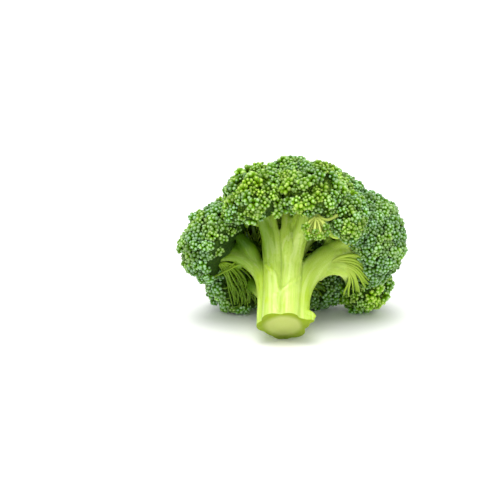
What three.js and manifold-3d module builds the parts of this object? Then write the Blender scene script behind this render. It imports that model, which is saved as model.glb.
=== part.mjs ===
// A head of broccoli as cut for the kitchen: a short thick stalk that forks into stout branches, each
// carrying a domed floret of tightly packed flower buds. Millimetres, +Z up, resting on the surface z = 0.
//
// The head is described as it grows, with z along the stalk from the cut end, x to the right and y to
// the back, and is then laid over so that the rim of the crown and the edge of the cut end carry it.

import * as THREE from "three";
import { ConvexHull } from "three/addons/math/ConvexHull.js";
import { mergeVertices } from "three/addons/utils/BufferGeometryUtils.js";
import Module from "manifold-3d";

const wasm = await Module();
wasm.setup();

// How the head lies
const LEAN = THREE.MathUtils.degToRad(51); // of the stalk, back from upright
const LIFT = 12.9; // height of the centre of the cut end above the surface
const PLACE = { x: -7.7, y: -51.7 }; // where the centre of the cut end stands on the surface

// Stalk
const CORE_RADIUS = 12.5; // pith of the stalk, which the flutes stand round
const FOOT_RADIUS = 13.6; // the same at the knife cut
const CORE_HEIGHT = 43;
const KNIFE_DEPTH = 2; // what the cut takes off the foot of every flute
const HUB = new THREE.Vector3(2, -1, 26); // the florets face away from this point in the stalk

// Florets
const CLUMP_SPACING = 17; // the swellings of a floret, each over one of its stalks
const CLUMP_HEIGHT = 2.4;
const TUFT_SPACING = 6.4; // the clusters of buds that cover a floret
const TUFT_HEIGHT = 2.1;
const GROOVE_DEPTH = 0.7; // of the gaps between clusters
const BOWL_SHARE = 0.34; // depth of the hollow underside, as a share of the floret's radius
const BOWL_TURN = 0.62; // angle over which the rim curls in to the hollow underside
const SEAM = 0.4; // air between two pressed florets
const SOCKET_AIR = 0.3; // air round a branch where it enters a floret
const PRESSED = 2; // how far into the next floret a cluster may reach and still be raised
const COARSE_SHARE = 0.2; // facets where there are no clusters, as a share of as many clusters
const GOLDEN_ANGLE = Math.PI * (3 - Math.sqrt(5));

// The stalks that fan out under a floret: how far inside its rim they end, and their stations
const FAN_INSET = 0.15;
const FAN_ROOT = { along: 0.2, thickness: 0.6 };
const FAN_LOW = { down: 0.6, out: 0.14, thickness: 0.5 };
const FAN_BEND = { down: 0.46, out: 0.42, thickness: 0.38 };
const FAN_END = { out: 0.86, clear: 2.5, thickness: 0.22 };

// The way to the side of the cut end, where the branches stand in the open, and how far a stalk of a fan
// may turn that way where RIBS has the stalks of that side.
const TO_FRONT = new THREE.Vector3(0, -0.81, -0.59);
const MOST_FRONT = 0.1;

const STALK_GREEN = 0x9dbb45;
const BUD_GREEN = 0x4c7540;

// Each floret: its centre and radius, the angle in degrees from its axis to its rim of buds, how many
// stalks fan out under it, whether it is open to the front, and its branch as x, y, z and radius from
// root to tip.
const FLORETS = [
  { name: "top", centre: [8, -13, 89], radius: 31, rim: 110, fan: 5, branch:
    [[0, -2, -2, 7], [1, -3, 32, 6.5], [2, -4, 56, 6], [6, -10, 76, 6.5]] },
  { name: "top_right", centre: [31, -14, 85], radius: 26, rim: 110, fan: 4, branch:
    [[5, 1, -2, 6.5], [7, 0, 34, 6], [12, -3, 58, 5.5], [26, -12, 76, 5]] },
  { name: "top_left", centre: [-24, 6, 82], radius: 27, rim: 110, fan: 4, branch:
    [[-4, 1, -2, 6.5], [-7, 0, 34, 6], [-16, 0, 54, 5.5], [-22, 4, 71, 5]] },
  { name: "top_back", centre: [9, 24, 86], radius: 29, rim: 110, fan: 4, branch:
    [[1, 5, -2, 6.5], [2, 8, 34, 6], [5, 14, 56, 6], [8, 21, 74, 6]] },
  { name: "front_left", centre: [-14, -40, 68], radius: 25, rim: 92, fan: 4, open: true, branch:
    [[-7, -8, -2, 7.5], [-6, -9.5, 30, 6.5], [-8, -14, 50, 5.6], [-10, -24, 62, 5], [-13, -34, 67, 5]] },
  { name: "front_right", centre: [16, -45, 68], radius: 24, rim: 92, fan: 4, open: true, branch:
    [[2.5, -9, -2, 7], [5, -10.5, 30, 7], [7, -14, 50, 6.5], [10, -25, 62, 5.5], [14, -36, 66, 5]] },
  { name: "side_right", centre: [37, -35, 60], radius: 18, rim: 105, fan: 3, branch:
    [[8, -14, 42, 5], [13, -20, 57, 4.5], [23, -27, 64, 4.5], [32, -32, 61, 4]] },
  { name: "right", centre: [50.5, -2, 68], radius: 32.5, rim: 104, fan: 6, open: true, branch:
    [[10, -2.5, -2, 7], [10.5, -3, 20, 7.8], [16, -4, 36, 8.5], [28, -4, 50, 8.5], [42, -2, 60, 8]] },
  { name: "right_low", centre: [57.5, 35, 58], radius: 20, rim: 110, fan: 4, open: true, branch:
    [[26, -3, 48, 5.5], [38, 5, 56, 5.5], [48, 16, 59, 5], [53, 27, 57, 4.5]] },
  { name: "left", centre: [-40, -6, 59], radius: 27, rim: 90, fan: 5, open: true, branch:
    [[-10.5, 0, -2, 7.3], [-10, -1, 24, 7], [-13, -2, 40, 7], [-22, -3, 50, 6.5], [-34, -5, 56, 6]] },
  { name: "back_left", centre: [-28, 35, 62], radius: 24, rim: 110, fan: 4, branch:
    [[-5.5, 5, -2, 6.5], [-8, 10, 26, 7], [-16, 20, 44, 6], [-24, 30, 56, 5.5]] },
  { name: "back", centre: [-2, 46, 73], radius: 22, rim: 110, fan: 4, branch:
    [[0, 9.5, -2, 7.5], [0, 13, 30, 6.5], [-1, 28, 52, 5.5], [-2, 39, 65, 5.5]] },
  { name: "back_right", centre: [24, 38, 66], radius: 23, rim: 110, fan: 4, branch:
    [[7, 7, -2, 7.5], [8, 10, 28, 7], [13, 22, 46, 6], [20, 32, 59, 5.5]] },
  { name: "tuft", centre: [20, -49.4, 42], radius: 8, rim: 120, fan: 0, branch:
    [[11, -28, 61, 3.4], [16, -39, 62, 3.2], [19, -47, 59, 2.6], [20.2, -51.4, 50, 2.2]] },
];

// The stout stalks that stand in the open on the side of the cut end, as x, y, z and radius from root to tip
const RIBS = [
  // the fan of the right branch
  [[27.2, -3.1, 53.3, 5], [35.2, -6.7, 56.6, 5.6], [42.4, -11.2, 57.6, 4.8], [48, -17.6, 56.2, 3.6]],
  [[25.7, -2.4, 48.9, 5], [34.4, -5.2, 51.1, 5.2], [42.2, -8.8, 51, 4.2], [49, -9.5, 49.5, 3.2],
    [57, -7, 47, 2]],
  [[24.3, -0.8, 45.1, 4.6], [32.9, -4.9, 47.2, 4.4], [41.4, -7.3, 47.2, 3.4], [49, -5, 45.5, 2.6],
    [60, 6, 41, 1.6]],
  [[24.3, 0.7, 42.9, 4.2], [31.4, -4.1, 44.5, 3.8], [39.2, -7, 43.3, 3], [46.7, -3.4, 41.7, 2.4],
    [54, 8, 42, 1.9], [59, 24, 45, 1.4]],
  [[24.2, 1.1, 40.7, 3.6], [30, -3.4, 41.7, 3.2], [37.1, -5.8, 40, 2.6], [44.1, -1.4, 39, 2.1],
    [50, 14, 41.5, 1.8], [53, 31, 46, 1.4]],
  [[24.2, 2.3, 39.1, 3.2], [28.7, -2.2, 40.1, 2.8], [35.1, -5, 39, 2.2], [40.6, -1.8, 37.9, 1.8],
    [45, 13, 40.5, 1.6], [47, 32, 46, 1.4]],
  // the forks at the top of the front flutes
  [[3.5, -16.3, 42.5, 4.2], [3.2, -21.3, 51.1, 4.6], [2.8, -25.5, 60.3, 3.9], [2.7, -29.3, 70.7, 3.5]],
  [[-7.7, -15.4, 44.7, 4], [-9.7, -22.4, 54.4, 4.4], [-12.7, -28.7, 61.2, 3.9], [-15.7, -35.3, 67, 3.4]],
  [[8.8, -20.1, 49.5, 4], [11.6, -28.3, 55.7, 4.3], [13.7, -36.2, 61.4, 3.8], [16.8, -43.5, 66.4, 3.2]],
  // the fork of the left branch
  [[-17.5, -4.9, 47.2, 5], [-21.5, -8.8, 54.3, 5], [-26.2, -11.5, 59.8, 4.2], [-32, -13, 66, 3]],
  [[-16.2, -2.5, 42.3, 4.8], [-22.2, -4.9, 47.2, 4.8], [-29.6, -6, 50.5, 4], [-37.7, -4.4, 51.7, 3],
    [-47, 2, 52, 2]],
];

for (const floret of FLORETS) {
  floret.centre = new THREE.Vector3(...floret.centre);
  floret.axis = floret.centre.clone().sub(HUB).normalize();
  floret.rim = THREE.MathUtils.degToRad(floret.rim);
  floret.clumps = spiral(countOver(floret.radius, CLUMP_SPACING));
}

// How many points with a spacing, each inside its own hexagon, cover a sphere.
function countOver(radius, spacing) {
  const hexagon = (Math.sqrt(3) / 2) * spacing ** 2;
  return Math.round((4 * Math.PI * radius ** 2) / hexagon);
}

// Evenly spread directions on the unit sphere, with the first ones round +z.
function spiral(count) {
  return Array.from({ length: count }, (_, i) => {
    const z = 1 - (2 * i + 1) / count;
    const ring = Math.sqrt(1 - z * z);
    return new THREE.Vector3(ring * Math.cos(i * GOLDEN_ANGLE), ring * Math.sin(i * GOLDEN_ANGLE), z);
  });
}

function solidOf(geometry) {
  const bare = geometry.clone();
  bare.deleteAttribute("normal");
  bare.deleteAttribute("uv");
  const merged = mergeVertices(bare, 1e-4);
  const vertProperties = new Float32Array(merged.attributes.position.array);
  const triVerts = new Uint32Array(merged.index.array);
  return new wasm.Manifold(new wasm.Mesh({ numProp: 3, vertProperties, triVerts }));
}

function geometryOf(solid) {
  const { vertProperties, triVerts } = solid.getMesh();
  const geometry = new THREE.BufferGeometry();
  geometry.setAttribute("position", new THREE.BufferAttribute(vertProperties, 3));
  geometry.setIndex(new THREE.BufferAttribute(triVerts, 1));
  geometry.computeVertexNormals();
  return geometry;
}

function facetedSolid(position, index) {
  const geometry = new THREE.BufferGeometry();
  geometry.setAttribute("position", new THREE.Float32BufferAttribute(position, 3));
  geometry.setIndex(index);
  return solidOf(geometry);
}

// A closed round tube along a smooth curve through stations of x, y, z and radius.
function taperedTube(stations, sides, steps, grow) {
  const curve = new THREE.CatmullRomCurve3(stations.map(([x, y, z]) => new THREE.Vector3(x, y, z)));
  const frames = curve.computeFrenetFrames(steps, false);
  const position = [];
  const index = [];
  for (let i = 0; i <= steps; i++) {
    const share = i / steps;
    const reached = share * (stations.length - 1);
    const from = Math.min(Math.floor(reached), stations.length - 2);
    const radius = THREE.MathUtils.lerp(stations[from][3], stations[from + 1][3], reached - from) + grow;
    for (let k = 0; k < sides; k++) {
      const angle = (k / sides) * 2 * Math.PI;
      const point = curve.getPoint(share);
      point.addScaledVector(frames.normals[i], radius * Math.cos(angle));
      point.addScaledVector(frames.binormals[i], radius * Math.sin(angle));
      position.push(...point);
    }
  }
  for (let i = 0; i < steps; i++) {
    for (let k = 0; k < sides; k++) {
      const a = i * sides + k;
      const b = i * sides + ((k + 1) % sides);
      index.push(a, b, b + sides, a, b + sides, a + sides);
    }
  }
  const last = steps * sides;
  for (let k = 1; k < sides - 1; k++) {
    index.push(0, k + 1, k, last, last + k, last + k + 1);
  }
  return facetedSolid(position, index);
}

// The direction that leans by an angle from a floret's axis, at a turn round it.
function leaning(axis, angle, turn) {
  const across = new THREE.Vector3(0, 0, 1).cross(axis).normalize();
  const along = axis.clone().cross(across);
  return axis
    .clone()
    .multiplyScalar(Math.cos(angle))
    .addScaledVector(across, Math.sin(angle) * Math.cos(turn))
    .addScaledVector(along, Math.sin(angle) * Math.sin(turn));
}

// How far a floret reaches from its centre: a dome of swellings down to its rim, then a hollow bowl.
// The direction is given with the floret's axis along +z.
function reach(floret, direction) {
  const lean = Math.acos(THREE.MathUtils.clamp(direction.z, -1, 1));
  const nearest = Math.min(...floret.clumps.map((clump) => clump.angleTo(direction)));
  const swelling = 0.5 - ((2 * nearest * floret.radius) / CLUMP_SPACING) ** 2;
  const dome = floret.radius + CLUMP_HEIGHT * swelling;
  const share = THREE.MathUtils.smoothstep(lean, floret.rim, floret.rim + BOWL_TURN);
  return THREE.MathUtils.lerp(dome, BOWL_SHARE * floret.radius, share);
}

// Florets press against each other along flat seams, where a point has the same power to both spheres.
function reachToSeams(floret, direction) {
  let most = Infinity;
  for (const other of FLORETS) {
    if (other === floret) continue;
    const between = other.centre.clone().sub(floret.centre);
    const distance = between.length();
    const power = distance ** 2 + floret.radius ** 2 - other.radius ** 2;
    const towards = direction.dot(between) / distance;
    if (towards > 0.01) most = Math.min(most, (power / (2 * distance) - SEAM / 2) / towards);
  }
  return most;
}

// A floret as one closed surface round its centre. Every cluster of buds is a peak with grooves round it,
// and coarser facets do for the hollow underside and for the flanks that press against other florets.
function floretSolid(floret) {
  const { centre, axis, radius } = floret;
  const turned = new THREE.Quaternion().setFromUnitVectors(new THREE.Vector3(0, 0, 1), axis);
  const pastRim = (direction) => Math.acos(THREE.MathUtils.clamp(direction.z, -1, 1)) - floret.rim;
  const pressedIn = (direction) =>
    reach(floret, direction) - reachToSeams(floret, direction.clone().applyQuaternion(turned));
  const isPeak = (direction) => pastRim(direction) < 0.1 && pressedIn(direction) < PRESSED;
  const isPlain = (direction) => pastRim(direction) > 0.3 || pressedIn(direction) > PRESSED + 1.5;
  const crowd = countOver(radius, TUFT_SPACING);
  const peaks = spiral(crowd).filter(isPeak);
  const directions = [...peaks, ...spiral(Math.round(crowd * COARSE_SHARE)).filter(isPlain)];
  const heights = directions.map((d, i) => reach(floret, d) + (i < peaks.length ? TUFT_HEIGHT : 0));

  const numbers = new Map(directions.map((direction, i) => [direction, i]));
  const index = [];
  for (const face of new ConvexHull().setFromPoints(directions).faces) {
    const edges = [face.edge, face.edge.next, face.edge.prev];
    const corners = edges.map((edge) => numbers.get(edge.head().point));
    if (corners.some((corner) => corner >= peaks.length)) {
      index.push(...corners);
      continue;
    }
    const groove = directions.push(face.normal.clone()) - 1;
    heights.push(reach(floret, face.normal) - GROOVE_DEPTH);
    corners.forEach((corner, k) => index.push(corner, corners[(k + 1) % 3], groove));
  }

  const position = directions.flatMap((direction, i) => {
    const outward = direction.clone().applyQuaternion(turned);
    const length = Math.min(heights[i], reachToSeams(floret, outward));
    return [...outward.multiplyScalar(length).add(centre)];
  });
  return facetedSolid(position, index);
}

// The stout stalks under a floret, which arch out of the end of its branch and run into its rim.
function fanOf(floret, grow) {
  const { centre, axis, radius, branch } = floret;
  const tip = new THREE.Vector3(...branch.at(-1));
  const root = new THREE.Vector3(...branch.at(-2)).lerp(tip, FAN_ROOT.along);
  const thickness = branch.at(-1)[3];
  const stalks = [];
  for (let k = 0; k < floret.fan; k++) {
    const turn = (k / floret.fan) * 2 * Math.PI + radius;
    const outward = leaning(axis, Math.PI / 2, turn);
    if (floret.open && outward.dot(TO_FRONT) > MOST_FRONT) continue;
    const under = ({ down, out }) =>
      centre.clone().addScaledVector(axis, -down * radius).addScaledVector(outward, out * radius);
    const towardsRim = leaning(axis, floret.rim - FAN_INSET, turn);
    const length = Math.min(FAN_END.out * radius, reachToSeams(floret, towardsRim) - FAN_END.clear);
    const end = centre.clone().addScaledVector(towardsRim, length);
    const stations = [
      [...root, FAN_ROOT.thickness * thickness],
      [...under(FAN_LOW), FAN_LOW.thickness * thickness],
      [...under(FAN_BEND), FAN_BEND.thickness * thickness],
      [...end, FAN_END.thickness * thickness],
    ];
    stalks.push(taperedTube(stations, 4, 4, grow));
  }
  return stalks;
}

function core(grow) {
  const profile = [
    [0, -KNIFE_DEPTH],
    [FOOT_RADIUS + grow, -KNIFE_DEPTH],
    [CORE_RADIUS + grow, 0.35 * CORE_HEIGHT],
    [CORE_RADIUS + grow, 0.65 * CORE_HEIGHT],
    [0.6 * CORE_RADIUS + grow, 0.93 * CORE_HEIGHT],
    [0, CORE_HEIGHT],
  ];
  const lathe = new THREE.LatheGeometry(profile.map(([r, z]) => new THREE.Vector2(r, z)), 12);
  lathe.rotateX(Math.PI / 2);
  return solidOf(lathe);
}

// The stub of a leaf that was trimmed off beside the cut end.
function leafStub() {
  const stub = new THREE.SphereGeometry(1, 8, 6);
  stub.scale(4.5, 3, 3.6);
  stub.rotateY(-0.5);
  stub.translate(17, -6, 1.2);
  return solidOf(stub);
}

// The stalk with all its branches as one body, or a little thicker for the sockets in the florets.
function stalkSolid(grow) {
  const pieces = [core(grow), leafStub(), ...RIBS.map((rib) => taperedTube(rib, 5, rib.length, grow))];
  for (const floret of FLORETS) {
    pieces.push(taperedTube(floret.branch, 8, 5, grow), ...fanOf(floret, grow));
  }
  return pieces.reduce((whole, piece) => whole.add(piece));
}

// All that lies below a plane, as a block wider than the head.
function below(plane) {
  const size = 400;
  const block = new THREE.BoxGeometry(size, size, size);
  block.translate(0, 0, -size / 2);
  block.applyQuaternion(new THREE.Quaternion().setFromUnitVectors(new THREE.Vector3(0, 0, 1), plane.normal));
  block.translate(...plane.coplanarPoint(new THREE.Vector3()));
  return solidOf(block);
}

const upward = new THREE.Vector3(0, -Math.sin(LEAN), Math.cos(LEAN));
const underSurface = below(new THREE.Plane(upward, LIFT));
const underCut = below(new THREE.Plane(new THREE.Vector3(0, 0, 1), 0));

const head = new THREE.Group();
head.name = "broccoli_head";
head.rotation.x = -LEAN;
head.position.set(PLACE.x, PLACE.y, LIFT);

function addPiece(name, solid, color, roughness) {
  const largest = solid.decompose().reduce((a, b) => (b.volume() > a.volume() ? b : a));
  const material = new THREE.MeshStandardMaterial({ color, roughness, metalness: 0 });
  const mesh = new THREE.Mesh(geometryOf(largest), material);
  mesh.name = name;
  head.add(mesh);
}

addPiece("stalk", stalkSolid(0).subtract(underCut).subtract(underSurface), STALK_GREEN, 0.45);
const sockets = stalkSolid(SOCKET_AIR);
for (const floret of FLORETS) {
  const body = floretSolid(floret).subtract(sockets).subtract(underSurface);
  addPiece("floret_" + floret.name, body, BUD_GREEN, 0.75);
}

export default head;
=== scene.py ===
# A head of broccoli lying on its crown and its cut end: stalk, branches, the thin stalks under the florets,
# and the florets with their clusters of flower buds.

import math

import bpy
import numpy as np
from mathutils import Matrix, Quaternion, Vector, noise


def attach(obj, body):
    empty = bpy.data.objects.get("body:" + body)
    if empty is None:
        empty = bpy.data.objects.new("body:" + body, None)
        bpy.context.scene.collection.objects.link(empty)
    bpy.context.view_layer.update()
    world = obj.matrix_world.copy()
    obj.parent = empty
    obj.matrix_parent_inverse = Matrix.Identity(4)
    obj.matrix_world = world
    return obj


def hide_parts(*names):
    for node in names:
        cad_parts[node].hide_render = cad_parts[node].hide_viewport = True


bl_info = {
    "name": "Broccoli head",
    "version": (1, 0, 0),
    "blender": (4, 5, 0),
    "location": "View3D > Sidebar > Broccoli",
    "description": "Builds a broccoli head: its stalk, its branches and its florets of buds",
    "category": "Add Mesh",
}

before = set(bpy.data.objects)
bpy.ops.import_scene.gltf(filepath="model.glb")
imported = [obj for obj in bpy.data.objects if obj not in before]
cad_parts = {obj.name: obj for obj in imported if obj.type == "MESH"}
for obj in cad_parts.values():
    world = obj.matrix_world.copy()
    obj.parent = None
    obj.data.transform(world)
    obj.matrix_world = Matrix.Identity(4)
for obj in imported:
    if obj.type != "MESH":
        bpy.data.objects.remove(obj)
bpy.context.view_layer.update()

MM = 0.001
GOLDEN_ANGLE = math.pi * (3 - math.sqrt(5))

# How the head lies, as in the part: the lean of its stalk, and the middle of its cut end in millimetres
LEAN = math.radians(51)
CUT_CENTRE = np.array((-7.7, -51.7, 12.9))

# The form of a floret, as in the part: lengths in millimetres, its hollow underside as a share of its radius,
# and the angle past its rim where that is reached, in radians
HUB = np.array((2.0, -1.0, 26.0))
CLUMP_SPACING = 17
CLUMP_HEIGHT = 2.4
BOWL_SHARE = 0.34
BUDDED_BOWL_SHARE = 0.74
BOWL_TURN = 0.62
SEAM = 0.4

# Under the two front florets the tops of the front flutes stand open. The middle of that place along X and
# where its sides fade, in millimetres; how much further the buds go on beside it, and how much sooner the
# flesh ends in it, in radians
COLUMNS_X = -9
COLUMNS_FADE = (3, 9)
BUDS_BESIDE = 0.44
FLESH_EARLY = 0.15

# In millimetres: how deep a floret's flesh lies under its swellings, how far apart its bunches of clusters
# are, from where to where beside a bunch's middle its clusters sink, how far past a seam a cluster may reach
# and a bud may sit, and how wide a young spot is
FLESH_DEPTH = 2.6
BUNCH_SPACING = 11
BUNCH_EDGE = (2.5, 7.5)
CLUSTER_PAST_SEAM = 2.2
BUD_PAST_SEAM = 1.2
SPOT_WIDTH = 6

# The grain of the stalk: how far apart the patterns of its branches are taken, and how much they are drawn
# out along these. The grooves where branches meet, and where front forks do: their width, and the heights up
# the stalk where they begin and are deepest
GRAIN_APART = 31
GRAIN_DRAWN = 0.06
# the grooves are darkened with painted shade
GROOVES = (2.0, 58, 44)
FORK_GROOVES = (1.4, 42, 50)

# Along a bud, in half widths: its foot, its top, and where its colour begins to change towards the top
BUD_FOOT = -3.5
BUD_TOP = 1.05
TINT_FOOT = -1.9

# Stout and thin stalks as tubes: corners round each, points along the longer thin ones, and how many of those
# hang from the left branch and arch over the fan of the right one
STOUT_SIDES = 20
THIN_SIDES = 6
THIN_POINTS = 16
HANGING_STALKS = 20
ARCHED_STALKS = 13

# Where the random draws begin, for the thin stalks and for the first floret's buds
STALK_SEED = 7
BUD_SEED = 100

# Each floret: its centre, its radius, its rim in degrees, how many stout stalks arch out to the rim, and its
# branch as x, y, z and radius from root to tip
FLORETS = {
    "top": ((8, -13, 89), 31, 110, 5,
            ((0, -2, -2, 7), (1, -3, 32, 6.5), (2, -4, 56, 6), (6, -10, 76, 6.5))),
    "top_right": ((31, -14, 85), 26, 110, 4,
                  ((5, 1, -2, 6.5), (7, 0, 34, 6), (12, -3, 58, 5.5), (26, -12, 76, 5))),
    "top_left": ((-24, 6, 82), 27, 110, 4,
                 ((-4, 1, -2, 6.5), (-7, 0, 34, 6), (-16, 0, 54, 5.5), (-22, 4, 71, 5))),
    "top_back": ((9, 24, 86), 29, 110, 4,
                 ((1, 5, -2, 6.5), (2, 8, 34, 6), (5, 14, 56, 6), (8, 21, 74, 6))),
    "front_left": ((-14, -40, 68), 25, 92, 4,
                   ((-7, -8, -2, 7.5), (-6, -9.5, 30, 6.5), (-8, -14, 50, 5.6), (-10, -24, 62, 5),
                    (-13, -34, 67, 5))),
    "front_right": ((16, -45, 68), 24, 92, 4,
                    ((2.5, -9, -2, 7), (5, -10.5, 30, 7), (7, -14, 50, 6.5), (10, -25, 62, 5.5),
                     (14, -36, 66, 5))),
    "side_right": ((37, -35, 60), 18, 105, 3,
                   ((8, -14, 42, 5), (13, -20, 57, 4.5), (23, -27, 64, 4.5), (32, -32, 61, 4))),
    "right": ((50.5, -2, 68), 32.5, 104, 6,
              ((10, -2.5, -2, 7), (10.5, -3, 20, 7.8), (16, -4, 36, 8.5), (28, -4, 50, 8.5),
               (42, -2, 60, 8))),
    "right_low": ((57.5, 35, 58), 20, 110, 4,
                  ((26, -3, 48, 5.5), (38, 5, 56, 5.5), (48, 16, 59, 5), (53, 27, 57, 4.5))),
    "left": ((-40, -6, 59), 27, 90, 5,
             ((-10.5, 0, -2, 7.3), (-10, -1, 24, 7), (-13, -2, 40, 7), (-22, -3, 50, 6.5), (-34, -5, 56, 6))),
    "back_left": ((-28, 35, 62), 24, 110, 4,
                  ((-5.5, 5, -2, 6.5), (-8, 10, 26, 7), (-16, 20, 44, 6), (-24, 30, 56, 5.5))),
    "back": ((-2, 46, 73), 22, 110, 4,
             ((0, 9.5, -2, 7.5), (0, 13, 30, 6.5), (-1, 28, 52, 5.5), (-2, 39, 65, 5.5))),
    "back_right": ((24, 38, 66), 23, 110, 4,
                   ((7, 7, -2, 7.5), (8, 10, 28, 7), (13, 22, 46, 6), (20, 32, 59, 5.5))),
    "tuft": ((20, -49.4, 42), 8, 120, 0,
             ((11, -28, 61, 3.4), (16, -39, 62, 3.2), (19, -47, 59, 2.6), (20.2, -51.4, 50, 2.2))),
}

# The stout stalks that stand in the open on the side of the cut end, as x, y, z and radius from root to tip:
# the fan of the right branch
RIGHT_RIBS = (
    ((27.2, -3.1, 53.3, 5), (35.2, -6.7, 56.6, 5.6), (42.4, -11.2, 57.6, 4.8), (48, -17.6, 56.2, 3.6)),
    ((25.7, -2.4, 48.9, 5), (34.4, -5.2, 51.1, 5.2), (42.2, -8.8, 51, 4.2), (49, -9.5, 49.5, 3.2),
     (57, -7, 47, 2)),
    ((24.3, -0.8, 45.1, 4.6), (32.9, -4.9, 47.2, 4.4), (41.4, -7.3, 47.2, 3.4), (49, -5, 45.5, 2.6),
     (60, 6, 41, 1.6)),
    ((24.3, 0.7, 42.9, 4.2), (31.4, -4.1, 44.5, 3.8), (39.2, -7, 43.3, 3), (46.7, -3.4, 41.7, 2.4),
     (54, 8, 42, 1.9), (59, 24, 45, 1.4)),
    ((24.2, 1.1, 40.7, 3.6), (30, -3.4, 41.7, 3.2), (37.1, -5.8, 40, 2.6), (44.1, -1.4, 39, 2.1),
     (50, 14, 41.5, 1.8), (53, 31, 46, 1.4)),
    ((24.2, 2.3, 39.1, 3.2), (28.7, -2.2, 40.1, 2.8), (35.1, -5, 39, 2.2), (40.6, -1.8, 37.9, 1.8),
     (45, 13, 40.5, 1.6), (47, 32, 46, 1.4)),
)

# The forks at the top of the front flutes, and last the web between these
FRONT_RIBS = (
    ((4, -10.6, 32, 3.6), (3.5, -16.3, 42.5, 4.2), (3.2, -21.3, 51.1, 4.6), (2.8, -25.5, 60.3, 3.9),
     (2.7, -29.3, 70.7, 3.5)),
    ((-6.6, -9.6, 34, 3.6), (-7.7, -15.4, 44.7, 4), (-9.7, -22.4, 54.4, 4.4), (-12.7, -28.7, 61.2, 3.9),
     (-15.7, -35.3, 67, 3.4)),
    ((6.8, -12.8, 38, 3.6), (8.8, -20.1, 49.5, 4), (11.6, -28.3, 55.7, 4.3), (13.7, -36.2, 61.4, 3.8),
     (16.8, -43.5, 66.4, 3.2)),
    ((-3.7, -11.1, 39.6, 4.4), (-3.7, -15.4, 46.4, 4.2), (-4.4, -19.7, 52.3, 3.8), (-5.7, -23.9, 58.2, 3.4),
     (-6.7, -27.8, 63.5, 3.2), (-7.7, -32.5, 68.3, 3.2)),
)

# The fork of the left branch
LEFT_RIBS = (
    ((-17.5, -4.9, 47.2, 5), (-21.5, -8.8, 54.3, 5), (-26.2, -11.5, 59.8, 4.2), (-32, -13, 66, 3)),
    ((-16.2, -2.5, 42.3, 4.8), (-22.2, -4.9, 47.2, 4.8), (-29.6, -6, 50.5, 4), (-37.7, -4.4, 51.7, 3),
     (-47, 2, 52, 2)),
)

# The thin stalks that lie over the fan of the right branch: the stations of six of them, with more between
FAN = (
    ((32.9, -9.2, 44.0, 1.3), (38.0, -10.9, 46.4, 1.3), (43.9, -12.0, 47.5, 1.2), (49.9, -11.6, 47.3, 1.1),
     (54.4, -9.8, 46.3, 1.0)),
    ((32.8, -8.5, 42.2, 1.2), (38.7, -10.0, 43.4, 1.2), (44.7, -8.7, 43.9, 1.1), (50.8, -6.3, 43.3, 1.0),
     (54.8, -2.5, 41.4, 0.9), (59.5, 1.8, 38.9, 0.8)),
    ((34.2, -8.5, 40.9, 1.2), (40.9, -9.4, 41.7, 1.2), (47.0, -6.5, 41.3, 1.0), (51.8, -1.6, 40.2, 0.9),
     (55.1, 3.1, 38.0, 0.8), (57.4, 5.6, 36.2, 0.7)),
    ((36.4, -8.5, 40.0, 1.1), (42.3, -8.0, 40.3, 1.1), (47.1, -4.1, 39.4, 1.0), (49.7, 1.4, 37.8, 0.9),
     (51.5, 7.4, 35.5, 0.8), (52.6, 12.1, 34.1, 0.7)),
    ((39.4, -8.2, 39.8, 1.1), (43.1, -6.2, 38.9, 1.0), (46.5, -1.1, 37.8, 0.9), (48.0, 4.8, 36.5, 0.8),
     (48.9, 11.6, 34.7, 0.7)),
    ((41.6, -6.7, 38.5, 1.0), (44.8, -2.1, 37.2, 0.9), (44.6, 4.8, 35.6, 0.8), (42.9, 12.1, 34.1, 0.8),
     (42.7, 16.4, 33.3, 0.7)),
)

# The core of the stem, and the root of the side shoot that grows out of it
CORE = ((0, 0, -9, 14.6), (0, 0, 3, 14.2), (0, 0, 14, 12.8), (0, -1, 30, 10), (0, -1, 42, 5))
SIDE_ROOT = ((6.5, -8, 28, 3), (7.2, -11.6, 35, 4.2))

# The stub of one trimmed leaf beside the cut: its half lengths, its turn in radians and its middle
STUB_HALF = (3.9, 2.6, 2.6)
STUB_TURN = -0.5
STUB_MIDDLE = (16.4, -6, 1.6)

# Raised edges on the stem where leaves once grew
SCARS = (
    ((11.1, -13.4, 29.6, 1.4), (6.9, -16.2, 23.7, 1.8), (2.2, -16.3, 19.1, 2.0), (-2.0, -14.6, 14.7, 2.2),
     (-3.8, -14.6, 8.6, 2.0), (-3.9, -14.6, 2.0, 1.8)),
    ((-11.7, -14.6, 38.6, 1.3), (-8.6, -16.0, 33.7, 1.7), (-6.0, -15.8, 28.8, 2.0), (-4.8, -15.3, 22.9, 2.0),
     (-3.8, -15.0, 15.1, 2.0)),
    ((-16.5, -3.2, 3.5, 1.2), (-15.4, -4.5, 17.2, 1.2), (-14.7, -5.7, 25.8, 1.1), (-15.0, -6.8, 33.7, 1.0)),
    ((13.0, -6.0, 8.5, 2.0), (16.0, -6.6, 5.8, 2.2), (18.4, -6.6, 4.6, 1.9), (20.6, -6.4, 2.6, 1.2)),
)

# The curtain of thin stalks that hangs from the left branch: its first and its last stalk
CURTAIN = (
    ((-37.7, -2.4, 48.9, 1.0), (-29.6, 1.3, 49.0, 0.9), (-22.1, 12.3, 49.1, 0.9), (-17.8, 25.4, 46.3, 0.8),
     (-17.0, 36.6, 41.1, 0.7)),
    ((-43.8, 0.0, 49.0, 1.0), (-41.8, 5.7, 46.3, 0.9), (-39.9, 15.9, 44.1, 0.9), (-37.9, 26.2, 41.9, 0.8),
     (-36.6, 34.5, 39.0, 0.7)),
)

# A thin bare stalk that curls past the small tuft
CURL = ((21.0, -50.8, 52.6, 1.6), (23.3, -51.7, 48.7, 1.3), (26.8, -51.4, 47.5, 1.1),
        (30.4, -50.9, 49.3, 1.1), (33.9, -49.5, 52.5, 1.6))

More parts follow.
